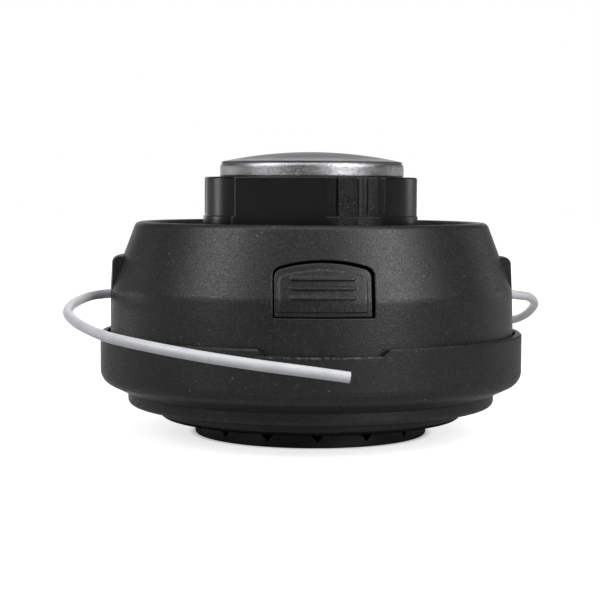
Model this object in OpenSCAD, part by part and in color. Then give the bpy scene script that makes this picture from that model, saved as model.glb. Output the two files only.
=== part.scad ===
// Bump feed trimmer head, standing on its vent ring with the bump knob on top.
// Millimetres. Z is the drive axis, and the front release tab faces -Y.

/* [Housing ring and base] */
// Outside diameter of the housing ring
ring_d = 111; // [106:1:118]
// Height of the low part of the ring's lip
ring_top_z = 25.2; // [24:0.1:27]
// Height of the foot of the ring's outer wall
ring_foot_z = 15.5; // [14:0.1:17]
// How far the lip stands up at both sides, beside the release tabs
lip_raise = 1.7; // [1:0.1:2.4]
// Thickness of the lip
lip_wall = 1.65; // [1.3:0.05:2]
// Width of the low part of the lip in front of a release tab
lip_notch_w = 27.8; // [24:0.1:31]
// How far the upper step of the underside lies inside the ring
step_one_in = 7.2; // [6:0.1:8]
// Height of the upper step's top edge
step_one_z = 11.1; // [10.5:0.1:12.5]
// How far the lower step lies inside the upper one
step_two_in = 8.3; // [7.5:0.1:10]
// Height of the lower step's top edge
step_two_z = 7.9; // [7:0.1:8.6]
// Radius of the upper step's round foot
step_one_round = 1.3; // [0.8:0.1:2.4]
// Radius of the lower step's round foot
step_two_round = 1.5; // [1:0.1:2.2]
// Radius of the round foot of the ring's outer wall
ring_round = 3.9; // [2.4:0.1:4.4]
// Thickness of the base's walls
base_wall = 2.4; // [2:0.1:2.6]
// How far the vent ring that the head stands on lies inside the lower step
vent_in = 9.4; // [8:0.1:10.5]
// Height of the vent ring
vent_h = 4.4; // [4:0.1:5]
// Thickness of the vent ring's wall
vent_wall = 2.5; // [2:0.1:3]
// Number of air notches, and of fan vanes between them
vent_count = 15; // [10:1:16]
// Width of an air notch at its top
notch_w = 5.4; // [3:0.1:6.4]
// Height of an air notch's point
notch_z = 1.3; // [1:0.1:2.4]
// Thickness of a fan vane
vane_t = 1.4; // [1:0.1:1.8]

/* [Arbor and post] */
// Diameter of the arbor nut's hole, the minor diameter of an M10 x 1.25 thread
thread_d = 8.65; // [8.4:0.05:9]
// Width across the flats of the arbor nut
nut_af = 17; // [16:0.5:18]
// Height of the arbor nut's hexagon
nut_h = 10; // [8:0.5:12]
// Diameter of the arbor nut's collar
nut_collar_d = 23; // [21:0.5:24]
// Thickness of the arbor nut's collar
nut_collar_t = 1.5; // [1.2:0.1:2]
// Diameter of the tower that holds the arbor nut
tower_d = 24.6; // [24:0.1:26]
// Height of the shoulder where the tower becomes the post
tower_z = 20.5; // [19:0.1:22]
// Diameter of the post that the spool turns on
post_d = 19; // [18:0.5:20]
// Diameter of the hole inside the post, for the end of the drive shaft
shaft_room_d = 11; // [10.5:0.1:12]

/* [Line exits] */
// Height of the line exits
eyelet_z = 36.5; // [35:0.1:38]
// Width of an eyelet pillar
pillar_w = 18; // [15:0.5:20]
// Height of the top of an eyelet pillar
pillar_top_z = 46.7; // [45.5:0.1:48]
// Depth of an eyelet pillar, from its face inwards
pillar_depth = 7.2; // [6:0.1:8]
// Radius of the rounded top edge of a pillar
pillar_round = 1.8; // [1:0.1:2.4]
// How far a pillar's face leans in above the crease
pillar_draft = 0.35; // [0.1:0.05:0.6]
// Diameter of an eyelet's hole
eyelet_bore = 3.6; // [3.2:0.1:4]
// Diameter of an eyelet's barrel
eyelet_d = 6.4; // [6:0.1:7]
// Diameter of an eyelet's flange
eyelet_flange_d = 9.4; // [8.6:0.1:10.5]
// Thickness of an eyelet's flange
eyelet_flange_t = 1.1; // [0.9:0.1:1.4]
// Diameter of the trimmer line
line_d = 2.4; // [2:0.1:2.7]

/* [Cover] */
// Gap between the ring's lip and the cover
cover_gap = 0.6; // [0.4:0.1:1]
// How much narrower the cover's wall is at the crease than at its foot
cover_draft = 0.45; // [0.2:0.05:0.8]
// Height of the crease where the cover's wall becomes a cone
crease_z = 38; // [37:0.1:39.5]
// Radius that softens the crease
crease_round = 5; // [2:0.5:8]
// Height of the cover's rim
rim_z = 55.6; // [55:0.1:58]
// Diameter of the crest of the rim
rim_d = 89.8; // [88:0.1:92]
// Radius of the rim's round edge
rim_round = 1.8; // [1.4:0.1:2.2]
// Depth of the dish inside the rim
dish_depth = 4.6; // [4:0.1:5]
// How much narrower the floor of the dish is than the crest of the rim
dish_slope = 3.5; // [3:0.1:4]
// Thickness of the cover's walls
cover_wall = 2.4; // [2.1:0.1:2.6]
// Thickness of the cover under the crest of its rim
rim_t = 3.8; // [3.4:0.1:4.2]
// Height of the collar under the dish that holds the knob's flange down
collar_h = 4.3; // [4:0.1:4.8]
// Thickness of that collar
collar_t = 2.2; // [1.8:0.1:2.6]

/* [Release tabs] */
// Width of the window that a release tab looks out of
window_w = 24; // [20:0.1:26]
// Height of the foot of the window
window_foot_z = 34.1; // [33.5:0.1:35]
// Height of the top of the window's arch
window_top_z = 47.5; // [46.5:0.1:48]
// Radius of the window's arch
window_arch_r = 36; // [30:1:45]
// Radius of the window's upper corners
window_corner_r = 2.4; // [1.5:0.1:3]
// Gap round a tab in its window
tab_gap = 0.5; // [0.4:0.05:0.6]
// How much more room there is over a tab
tab_drop = 0.3; // [0:0.1:0.6]
// How far a tab's face sits to the left of its window's middle
tab_shift = 0.2; // [0:0.05:0.25]
// Gap under a tab, where it catches the cover
catch_gap = 0.25; // [0.15:0.05:0.3]
// Width of a tab's border round its raised pad
pad_border = 1; // [0.6:0.1:1.6]
// How far the raised pad stands out
pad_out = 0.25; // [0.15:0.05:0.35]
// Thickness of a tab's arm
arm_t = 2; // [1.6:0.1:2.2]
// Width of a tab's arm
arm_w = 16; // [14:0.1:16.5]
// Height of the pin that a tab turns on
pin_z = 18; // [17.4:0.1:18.6]
// Diameter of that pin
pin_d = 2.8; // [2.4:0.1:3]
// Outside diameter of a tab's barrel
barrel_d = 4.8; // [4.6:0.1:5]
// Width of one pin ear
ear_w = 2.8; // [2.2:0.1:3]
// Outside diameter of a pin ear
ear_d = 5.2; // [5:0.1:5.4]
// Width of a grip rib on a tab
grip_w = 15.6; // [12:0.1:18]
// Height of a grip rib
grip_t = 1.1; // [0.8:0.1:1.3]
// How far a grip rib stands out past the pad
grip_out = 0.35; // [0.2:0.05:0.5]
// Diameter of a tab spring's wire
tab_wire_d = 0.7; // [0.6:0.05:0.8]
// Height of a tab spring's upper leg above the pin
tab_leg = 9.6; // [7:0.1:11]

/* [Knob and cap] */
// Diameter of the knob
knob_d = 56.4; // [54:0.1:58]
// Height of the knob above the rim
knob_rise = 11.7; // [11:0.1:13]
// Number of flats round the knob
knob_flats = 3; // [2:1:4]
// Width of a flat
flat_w = 24; // [20:0.5:28]
// How far the first flat is turned to the left of the front
flat_turn = 21.8; // [0:0.1:60]
// Width of the rib between a flat and its groove
knob_rib_w = 1.7; // [1.2:0.1:2.4]
// Width of the groove beside a flat
groove_w = 1.5; // [1:0.1:2]
// Depth of that groove
groove_depth = 0.9; // [0.5:0.1:1.2]
// Number of grip flutes beyond the groove
flute_count = 3; // [0:1:4]
// Width of a grip flute
flute_w = 1.1; // [0.8:0.1:1.5]
// Distance from the groove to the first flute, and between the flutes
flute_pitch = 3.2; // [2.6:0.1:4.2]
// Depth of a grip flute
flute_depth = 0.25; // [0.15:0.05:0.4]
// Height of the knob's round foot above the rim
foot_rise = 1.7; // [1:0.1:2.4]
// How far the round foot stands out past the knob
foot_out = 0.35; // [0.2:0.05:0.5]
// Diameter of the knob's flange, inside the cover
knob_flange_d = 66; // [64:0.5:67]
// Thickness of that flange
knob_flange_t = 2.5; // [2.2:0.1:2.8]
// Thickness of the knob's wall behind its flats
knob_wall = 3.5; // [2.6:0.1:4]
// Thickness of the knob's top wall
knob_top_t = 3.6; // [3:0.1:4]
// How far the bump cap stays inside the knob's flats
cap_inset = 1.3; // [0.8:0.1:2]
// Height of the bump cap's side
cap_side_h = 3.9; // [3.4:0.1:4.4]
// Height of the bump cap's dome above its side
cap_dome_h = 2.7; // [2.4:0.1:3]
// Radius of the edge between the cap's side and its dome
cap_edge_r = 2; // [1.6:0.1:2.3]
// Diameter of the circle of cap screws
cap_screw_circle_d = 26; // [24:0.5:30]
// Diameter of a cap screw's thread
cap_screw_d = 4; // [3.5:0.5:4.5]
// Diameter of a cap screw's head
screw_head_d = 7.6; // [6.5:0.1:8]
// Height of a cap screw's head
screw_head_h = 2.4; // [2:0.1:2.8]
// Width across the corners of the key's socket in it
screw_key_d = 2.8; // [2.2:0.1:3.2]

/* [Spool and spring] */
// Height of the spool over its outer flanges
spool_h = 22; // [21:0.1:22.6]
// Thickness of the spool's flanges
flange_t = 1.8; // [1.5:0.1:2]
// Thickness of the spool's divider
divider_t = 1.5; // [1.2:0.1:1.8]
// Outside diameter of the spool's barrel
barrel_out_d = 40; // [39.5:0.5:42]
// Thickness of the spool barrel's wall
barrel_wall = 2.2; // [2:0.1:2.4]
// Diameter of the windings
winding_d = 69; // [60:0.5:74]
// Height of the spool's web over its lower face
web_rise = 14; // [13:0.1:15]
// Thickness of the spool's web
web_t = 2.5; // [2:0.1:3]
// Wall of the steel bush in the spool
bush_t = 2; // [1.6:0.1:2.2]
// Length of that bush
bush_h = 7; // [6:0.1:7.5]
// Travel of the knob when it is bumped
press_travel = 6; // [5:0.5:6.5]
// Number of stop lugs on each face
lug_count = 4; // [3:1:5]
// Width of a stop lug
lug_w = 6; // [4.5:0.1:7]
// Wire of the main spring
spring_wire = 1.6; // [1.4:0.1:1.8]
// Turns of the main spring
spring_turns = 5.5; // [4.5:0.5:6.5]

/* [Hidden] */

// Clearances and overruns
over = 0.5;
cut_over = 20;
fit_gap = 0.06;
rest_gap = 0.3;
web_gap = 0.2;
slot_gap = 0.4;
soft_edge = 0.8;

// Colours
black_nylon = [0.19, 0.19, 0.2];
black_knob = [0.1, 0.1, 0.11];
dark_nylon = [0.16, 0.16, 0.17];
cast_aluminium = [0.66, 0.66, 0.68];
bright_steel = [0.62, 0.63, 0.65];
clear_line = [0.75, 0.76, 0.77];

// Radii of the housing, from the ring inwards
ring_r = ring_d / 2;
lip_r = ring_r - lip_wall;
cover_r = lip_r - cover_gap;
crease_r = cover_r - cover_draft;
step_one_r = ring_r - step_one_in;
step_two_r = step_one_r - step_two_in;
vent_r = step_two_r - vent_in;
floor_z = vent_h + base_wall;
ledge_z = step_two_z + base_wall;
tower_r = tower_d / 2;
vane_slant = 8;
post_r = post_d / 2;

// Cover
rim_r = rim_d / 2;
dish_z = rim_z - dish_depth;
dish_r = rim_r - dish_slope;
under_dish_z = dish_z - cover_wall;
skirt_z = ring_foot_z + base_wall;
cone_angle = atan2(crease_r - rim_r - rim_round, rim_z - rim_round - crease_z);
cone_wall = cover_wall / cos(cone_angle);
wall_lean = atan2(cover_draft, crease_z - ring_top_z);
crease_bend = crease_round * sign(cone_angle - wall_lean);
collar_z = under_dish_z - collar_h;

// Pillars and eyelets
pillar_in_r = crease_r - pillar_depth;
eyelet_seat_r = crease_r - eyelet_flange_t - soft_edge / 2;

// Spool, stacked down from the collar of the cover
knob_flange_z = collar_z - rest_gap;
spool_top_z = knob_flange_z - knob_flange_t;
spool_low_z = spool_top_z - spool_h;
spool_room = 4;
spool_r = pillar_in_r - spool_room;
barrel_out_r = barrel_out_d / 2;
barrel_in_r = barrel_out_r - barrel_wall;
divider_z = (spool_low_z + spool_top_z) / 2;
web_z = spool_low_z + web_rise;
bush_r = post_r + fit_gap;
bush_out_r = bush_r + bush_t;
boss_r = bush_out_r + bush_t;
post_top_z = web_z + bush_h + bush_t;

// Spring, from its seat on the base to the washer under the web
washer_t = 1.2;
washer_gap = 0.3;
spring_r = (tower_r + barrel_in_r) / 2 - washer_gap;
spring_low_z = floor_z + washer_t;
spring_high_z = web_z - web_gap - washer_t;

// Stop lugs, with their lengths along the radius. The upper ones hold the spool at rest,
// the lower ones when it is pressed.
lug_edge = 2;
upper_lug_l = 5;
lower_lug_l = 7;
upper_lug_in_r = spool_r - lug_edge - upper_lug_l;
upper_lug_out_r = spool_r - lug_edge;
upper_lug_h = 3.6;
upper_lug_catch = 1.9;
lower_lug_in_r = barrel_out_r + 2 * lug_edge;
lower_lug_out_r = lower_lug_in_r + lower_lug_l;
lower_lug_h = 4.1;
lower_lug_clear = 2.4;
lug_ramp = lug_w / 3;
lug_free_angle = 1;
lug_step = 2 * asin(lug_w / 2 / upper_lug_in_r) + lug_free_angle;
low_lug_step = 2 * asin(lug_w / 2 / lower_lug_in_r) + 3 * lug_free_angle;

// Knob and cap
knob_r = knob_d / 2;
knob_top_z = rim_z + knob_rise;
foot_z = rim_z + foot_rise;
flat_r = sqrt(pow(knob_r, 2) - pow(flat_w / 2, 2));
flat_half_angle = asin(flat_w / 2 / knob_r);
knob_bore_r = flat_r - knob_wall;
foot_r = knob_r + foot_out;
opening_r = foot_r + slot_gap * 2;
spigot_r = barrel_in_r - slot_gap / 2;
spigot_t = 2.2;
spigot_h = 4;
cap_r = flat_r - cap_inset;
cap_top_z = knob_top_z + cap_side_h + cap_dome_h;
cap_spigot_r = cap_r - knob_top_t - soft_edge;
cap_spigot_h = knob_top_t / 2;
cap_hollow_h = cap_side_h - soft_edge;

// Release tabs
arm_out_r = sqrt(pow(crease_r - cone_wall - slot_gap, 2) - pow(arm_w / 2, 2));
arm_in_r = arm_out_r - arm_t;
ear_gap = 0.3;
ear_x = arm_w / 2 + ear_gap;
pin_r = pin_d / 2;
pin_y = arm_in_r - 2 * ear_gap;
coil_room = arm_w / 5;
tab_coil_r = pin_r + tab_wire_d;
grip_z = (crease_z + window_top_z) / 2 - grip_t * 2;
grip_pitch = grip_t * 2;
grip_count = 3;

// The free line, from inside its eyelet to its cut end, as points chosen by hand
left_route = [
    [-48, 0, 36.5], [-51, 0, 36.5], [-53.5, -1, 36.5], [-55.8, -3.4, 36.4],
    [-57.5, -7, 36.3], [-59, -12.5, 36], [-60.3, -20, 35.6], [-61, -29, 35],
    [-60.6, -39, 34.2], [-57.6, -52.5, 33.2], [-53, -66, 32.4], [-48, -76, 31.7],
    [-39, -84.8, 30.6], [-28.5, -91.4, 29.3], [-17, -95.2, 27.9],
    [-6, -96.8, 26.6], [2.4, -96.4, 25.4],
];
right_route = [
    [48, 0, 36.5], [51, 0, 36.5], [53.6, 0.9, 36.4], [56.2, 3.2, 36],
    [58.4, 6.8, 35.6], [60.6, 12, 35], [63, 19, 33.8], [65.4, 28, 32],
    [66.4, 38, 29.6], [66.2, 47.2, 27.2], [64.8, 56.4, 25.2], [60.4, 69.4, 23],
    [52, 82, 21], [40.6, 90.8, 19.6], [28, 96.4, 18.6], [14, 99.2, 18],
];

// Points along an arc, counter-clockwise from angle a0 to a1
function arc(c, r, a0, a1, n = 6) =
    [for (i = [0 : n]) c + r * [cos(a0 + (a1 - a0) * i / n), sin(a0 + (a1 - a0) * i / n)]];

// A point on a smooth curve through four points, at t from 0 to 1
function smooth_point(a, b, c, d, t) =
    0.5 * (2 * b + (c - a) * t + (2 * a - 5 * b + 4 * c - d) * t * t
        + (3 * b - a - 3 * c + d) * t * t * t);

// A route with extra points between its own
function smooth_route(p, steps) = concat(
    [for (i = [0 : len(p) - 2], s = [0 : steps - 1])
        smooth_point(p[max(i - 1, 0)], p[i], p[i + 1], p[min(i + 2, len(p) - 1)], s / steps)],
    [p[len(p) - 1]]);

function unit(v) = v / norm(v);

// Directions along a route at each of its points
function headings(p) =
    [for (i = [0 : len(p) - 1]) unit(p[min(i + 1, len(p) - 1)] - p[max(i - 1, 0)])];

// A round tube that follows a route, closed at both ends. No stretch may run along axis.
module tube(route, d, sides, axis = [0, 0, 1]) {
    ahead = headings(route);
    last = len(route) - 1;
    rings = [for (i = [0 : last])
        let (side = unit(cross(ahead[i], axis)), up = cross(side, ahead[i]))
        [for (k = [0 : sides - 1])
            route[i] + d / 2 * (side * cos(360 * k / sides) + up * sin(360 * k / sides))]];
    points = [for (ring = rings, p = ring) p];
    walls = [for (i = [0 : last - 1], k = [0 : sides - 1])
        let (a = i * sides + k, b = i * sides + (k + 1) % sides)
        [a, b, b + sides, a + sides]];
    start = [for (k = [sides - 1 : -1 : 0]) k];
    finish = [for (k = [0 : sides - 1]) last * sides + k];
    polyhedron(points, concat([start], walls, [finish]));
}

// A helix about Z, as a route
function helix(r, z0, z1, turns, per_turn) =
    [for (i = [0 : turns * per_turn])
        [r * cos(360 * i / per_turn), r * sin(360 * i / per_turn),
            z0 + (z1 - z0) * i / (turns * per_turn)]];

// Repeats its children evenly round Z
module around(count, first = 0) {
    for (k = [0 : count - 1]) rotate(first + 360 * k / count) children();
}

// The soft crease, an arc that touches both the wall and the cone
function crease_arc(grow) =
    let (wall_out = [cos(wall_lean), sin(wall_lean)], cone_out = [cos(cone_angle), sin(cone_angle)],
        c = [crease_r + grow, crease_z]
            - crease_bend * (wall_out + cone_out) / (1 + wall_out * cone_out))
    arc(c, crease_bend, wall_lean, cone_angle, 4);

// Outer surface of the cover, from its skirt to the crest of the rim, moved out by grow
function cover_outline(grow = 0) = concat(
    [[cover_r + grow, skirt_z], [cover_r + grow, ring_top_z]],
    crease_arc(grow),
    arc([rim_r + grow, rim_z - rim_round], rim_round, cone_angle, 90));

// Solid inside the cover's outer surface
module cover_body(grow = 0) {
    rotate_extrude($fn = 120)
        polygon(concat([[0, skirt_z]], cover_outline(grow), [[0, rim_z]]));
}

// Arched outline of a tab window, in X and Z, drawn in by inset, its foot up and its top down
function window_outline(inset = 0, foot = 0, drop = 0) =
    let (half = window_w / 2 - inset, corner = window_corner_r - inset / 2,
        arch = window_arch_r - inset, arch_z = window_top_z - window_arch_r - drop,
        x = half - corner, z = arch_z + sqrt(pow(arch - corner, 2) - pow(x, 2)),
        a = atan2(z - arch_z, x))
    concat([[-half, window_foot_z + foot], [half, window_foot_z + foot]],
        arc([x, z], corner, 0, a), arc([0, arch_z], arch, a, 180 - a),
        arc([-x, z], corner, 180 - a, 180));

// Extrudes a shape drawn in X and Z towards -Y, from radius r0 to r1
module towards_front(r0, r1) {
    translate([0, -r0, 0]) rotate([90, 0, 0]) linear_extrude(r1 - r0) children();
}

// A stop lug standing on z = 0 between two radii, with a ramp on one side and its root sunk in
module stop_lug(r0, r1, h) {
    intersection() {
        difference() {
            translate([0, 0, -over]) cylinder(r = r1, h = h + over, $fn = 90);
            translate([0, 0, -2 * over]) cylinder(r = r0, h = h + 4 * over, $fn = 90);
        }
        towards_front(0, r1 + over)
            polygon([[-lug_w / 2, -2 * over], [lug_w / 2, -2 * over], [lug_w / 2, h],
                [-lug_w / 2 + lug_ramp, h], [-lug_w / 2, 0]]);
    }
}

// Turned section of the base, without its openings
module base_turned() {
    rotate_extrude($fn = 120) polygon(concat(
        [[0, vent_h], [vent_r - vent_wall, vent_h], [vent_r - vent_wall, 0]],
        arc([vent_r - soft_edge / 2, soft_edge / 2], soft_edge / 2, -90, 0, 3),
        [[vent_r, vent_h]],
        arc([step_two_r - step_two_round, vent_h + step_two_round], step_two_round, -90, 0, 4),
        [[step_two_r, step_two_z]],
        arc([step_one_r - step_one_round, step_two_z + step_one_round], step_one_round, -88, 0, 5),
        [[step_one_r, step_one_z]],
        arc([ring_r - ring_round, ring_foot_z + ring_round - base_wall], ring_round, -66, 0, 5),
        [[ring_r, ring_top_z + lip_raise - soft_edge / 2],
            [ring_r - soft_edge / 2, ring_top_z + lip_raise],
            [lip_r, ring_top_z + lip_raise], [lip_r, ring_foot_z + soft_edge],
            [step_one_r - base_wall, step_one_z + base_wall],
            [step_one_r - base_wall, ledge_z],
            [step_two_r - base_wall, ledge_z],
            [step_two_r - 2 * base_wall, floor_z],
            [tower_r + soft_edge, floor_z], [tower_r, floor_z + soft_edge],
            [tower_r, tower_z], [post_r, tower_z], [post_r, post_top_z - soft_edge],
            [post_r - soft_edge, post_top_z], [0, post_top_z]]));
}

// One eyelet pillar, on the right
module pillar() {
    intersection() {
        translate([pillar_in_r, -pillar_w / 2, ledge_z - over])
            cube([pillar_depth + over, pillar_w, pillar_top_z]);
        rotate_extrude($fn = 120) polygon(concat(
            [[0, floor_z], [step_one_r - base_wall / 2, floor_z],
                [step_one_r - base_wall / 2, step_one_z], [crease_r, ring_foot_z]],
            [[crease_r, crease_z]],
            arc([crease_r - pillar_draft - pillar_round, pillar_top_z - pillar_round],
                pillar_round, 0, 90),
            [[0, pillar_top_z]]));
    }
}

// Ears for the front tab's pin
module pin_ears() {
    for (side = [-1, 1])
        translate([side * (ear_x + ear_w / 2), -pin_y, pin_z]) {
            rotate([0, 90, 0]) cylinder(d = ear_d, h = ear_w, center = true, $fn = 40);
            translate([-ear_w / 2, -ear_d / 2, step_one_z + base_wall / 2 - pin_z])
                cube([ear_w, ear_d, pin_z - step_one_z - base_wall / 2]);
            translate([-ear_w / 2, 0, ledge_z - over - pin_z])
                cube([ear_w, ear_d / 2, pin_z - ledge_z + over]);
        }
}

// One slanted fan vane under the floor
module vane() {
    vane_low_z = vent_h / 4;
    vane_in_r = nut_collar_d / 2 + vane_t;
    translate([-vane_t / 2, vane_in_r, vane_low_z])
        rotate(-vane_slant)
            cube([vane_t, vent_r - vent_wall / 2 - vane_in_r, vent_h - vane_low_z + over]);
}

module base_housing() {
    color(black_nylon) difference() {
        union() {
            base_turned();
            for (turn = [0, 180]) rotate(turn) {
                pillar();
                pin_ears();
            }
            around(vent_count, 180 + 180 / vent_count) vane();
            around(lug_count) translate([0, 0, floor_z])
                stop_lug(lower_lug_in_r, lower_lug_out_r,
                    spool_low_z - lower_lug_h - lower_lug_clear - floor_z);
        }
        // seat of the arbor nut, and room for the end of the shaft
        translate([0, 0, vent_h - over])
            cylinder(d = nut_collar_d, h = nut_collar_t + over, $fn = 72);
        translate([0, 0, vent_h])
            cylinder(r = nut_af / 2 / cos(30), h = nut_collar_t + nut_h, $fn = 6);
        translate([0, 0, vent_h])
            cylinder(d = shaft_room_d, h = post_top_z - vent_h - base_wall, $fn = 60);
        // low parts of the lip, front and rear
        for (turn = [0, 180]) rotate(turn)
            towards_front(step_one_r - cut_over, ring_r + cut_over)
                polygon([[-lip_notch_w / 2, ring_top_z], [lip_notch_w / 2, ring_top_z],
                    [lip_notch_w / 2 + lip_raise + over, ring_top_z + lip_raise + over],
                    [-lip_notch_w / 2 - lip_raise - over, ring_top_z + lip_raise + over]]);
        // air notches in the vent ring
        around(vent_count) towards_front(vent_r - vent_wall - over, vent_r + over)
            polygon([[-notch_w / 2, vent_h], [0, notch_z], [notch_w / 2, vent_h]]);
        // seats of the eyelets and holes for the tab pins
        for (turn = [0, 180]) rotate(turn) {
            translate([pillar_in_r - over, 0, eyelet_z]) rotate([0, 90, 0])
                cylinder(d = eyelet_d, h = pillar_depth + 2 * over, $fn = 48);
            translate([eyelet_seat_r, 0, eyelet_z]) rotate([0, 90, 0])
                cylinder(d = eyelet_flange_d, h = pillar_depth, $fn = 48);
            translate([0, -pin_y, pin_z]) rotate([0, 90, 0])
                cylinder(r = pin_r, h = 2 * (ear_x + ear_w + over), center = true, $fn = 40);
        }
    }
}

module arbor_nut() {
    color(bright_steel) difference() {
        union() {
            translate([0, 0, vent_h]) cylinder(d = nut_collar_d, h = nut_collar_t, $fn = 72);
            translate([0, 0, vent_h + nut_collar_t])
                cylinder(r = nut_af / 2 / cos(30), h = nut_h, $fn = 6);
        }
        translate([0, 0, vent_h - over])
            cylinder(d = thread_d, h = nut_collar_t + nut_h + 2 * over, $fn = 60);
        translate([0, 0, vent_h - over])
            cylinder(d1 = thread_d + 4 * over, d2 = thread_d, h = 2 * over, $fn = 60);
    }
}

// Eyelet on the right, a flanged ferrule with a flared mouth
module eyelet() {
    barrel_r = eyelet_d / 2;
    bore_r = eyelet_bore / 2;
    flare = barrel_r - bore_r;
    length = eyelet_seat_r + eyelet_flange_t - pillar_in_r;
    translate([pillar_in_r, 0, eyelet_z]) rotate([0, 90, 0])
        rotate_extrude($fn = 60) polygon(concat(
            [[bore_r, soft_edge], [bore_r + soft_edge / 2, 0], [barrel_r, 0],
                [barrel_r, length - eyelet_flange_t],
                [eyelet_flange_d / 2, length - eyelet_flange_t],
                [eyelet_flange_d / 2, length - soft_edge / 4]],
            arc([bore_r + flare, length - flare], flare, 90, 180, 5)));
}

module eyelet_left() { color(bright_steel) rotate(180) eyelet(); }
module eyelet_right() { color(bright_steel) eyelet(); }

module cover_shell() {
    color(black_nylon) difference() {
        union() {
            rotate_extrude($fn = 120) polygon(concat(
                cover_outline(),
                arc([rim_r, rim_z - rim_round], rim_round, 90, 165),
                [[dish_r + soft_edge, dish_z + soft_edge], [dish_r, dish_z],
                    [opening_r + soft_edge, dish_z], [opening_r, dish_z - soft_edge],
                    [opening_r, collar_z], [opening_r + collar_t, collar_z],
                    [opening_r + collar_t, under_dish_z],
                    [dish_r + cover_wall - soft_edge, under_dish_z],
                    [rim_r, rim_z - rim_t],
                    [crease_r - cone_wall, crease_z - soft_edge / 2],
                    [cover_r - cover_wall, ring_top_z], [cover_r - cover_wall, skirt_z]]));
            around(lug_count, -lug_step)
                translate([0, 0, under_dish_z]) mirror([0, 0, 1])
                    stop_lug(upper_lug_in_r, upper_lug_out_r,
                        under_dish_z - spool_top_z - upper_lug_h + upper_lug_catch);
        }
        for (turn = [0, 180]) rotate(turn) {
            // slot for an eyelet pillar
            translate([pillar_in_r - slot_gap, -pillar_w / 2 - slot_gap, skirt_z - over])
                cube([pillar_depth + cut_over, pillar_w + 2 * slot_gap,
                    pillar_top_z + slot_gap - skirt_z + over]);
            // window for a release tab
            towards_front(arm_in_r - arm_t, ring_r) polygon(window_outline());
        }
    }
}

// The front tab: its face fills the window, and its arm hangs on the pin
module release_tab() {
    difference() {
        union() {
            translate([-tab_shift, 0, 0]) {
                intersection() {
                    cover_body();
                    towards_front(arm_in_r, ring_r)
                        polygon(window_outline(tab_gap, catch_gap, tab_drop));
                }
                // raised pad
                intersection() {
                    cover_body(pad_out);
                    towards_front(arm_in_r, ring_r)
                        polygon(window_outline(tab_gap + pad_border, catch_gap + pad_border,
                            tab_drop + pad_border / 2));
                }
                // grip ribs
                intersection() {
                    cover_body(pad_out + grip_out);
                    towards_front(arm_in_r, ring_r + over)
                        for (k = [0 : grip_count - 1])
                            translate([-grip_w / 2, grip_z + (k - 1) * grip_pitch])
                                square([grip_w, grip_t]);
                }
            }
            translate([-arm_w / 2, -arm_out_r, pin_z])
                cube([arm_w, arm_t, window_foot_z + arm_t - pin_z]);
            translate([0, -pin_y, pin_z]) rotate([0, 90, 0])
                cylinder(d = barrel_d, h = arm_w, center = true, $fn = 40);
        }
        translate([0, -pin_y, pin_z]) rotate([0, 90, 0])
            cylinder(r = pin_r + fit_gap, h = arm_w + 2 * over, center = true, $fn = 40);
        // room for the spring's coil
        translate([-coil_room, -arm_out_r - over, pin_z - barrel_d])
            cube([2 * coil_room, barrel_d + arm_t + 2 * over, 2 * barrel_d]);
    }
}

module release_tab_front() { color(black_nylon) release_tab(); }
module release_tab_rear() { color(black_nylon) rotate(180) release_tab(); }

module tab_pin() {
    translate([0, -pin_y, pin_z]) rotate([0, 90, 0])
        cylinder(r = pin_r, h = 2 * (ear_x + ear_w), center = true, $fn = 40);
}

module tab_pin_front() { color(bright_steel) tab_pin(); }
module tab_pin_rear() { color(bright_steel) rotate(180) tab_pin(); }

// Torsion spring round the pin, one leg on the arm and one on the floor
module tab_spring() {
    coil_half = coil_room - tab_wire_d;
    coil_turns = 3;
    coil = [for (p = helix(tab_coil_r, -coil_half, coil_half, coil_turns, 12))
        [p[2], p[0] - pin_y, p[1] + pin_z]];
    last = coil[len(coil) - 1];
    foot_tip = [coil[0][0], coil[0][1] + tab_wire_d, ledge_z + tab_wire_d];
    arm_tip = [last[0], tab_wire_d / 2 + rest_gap / 2 - arm_in_r, pin_z + tab_leg];
    tube(concat([foot_tip], coil, [arm_tip]), tab_wire_d, 6, [1, 0, 0]);
}

module tab_spring_front() { color(bright_steel) tab_spring(); }
module tab_spring_rear() { color(bright_steel) rotate(180) tab_spring(); }

// A flat washer lying on z
module washer(z, inner_r, outer_r) {
    translate([0, 0, z]) difference() {
        cylinder(r = outer_r, h = washer_t, $fn = 72);
        translate([0, 0, -over]) cylinder(r = inner_r, h = washer_t + 2 * over, $fn = 72);
    }
}

module spring_seat_washer() {
    color(bright_steel) washer(floor_z, tower_r + soft_edge + washer_gap, spring_r + 2 * spring_wire);
}

module lift_washer() {
    color(bright_steel) washer(spring_high_z, post_r + washer_gap, barrel_in_r - washer_gap);
}

module main_spring() {
    color(bright_steel)
        tube(helix(spring_r, spring_low_z + spring_wire / 2, spring_high_z - spring_wire / 2,
            spring_turns, 16), spring_wire, 8);
}

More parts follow.
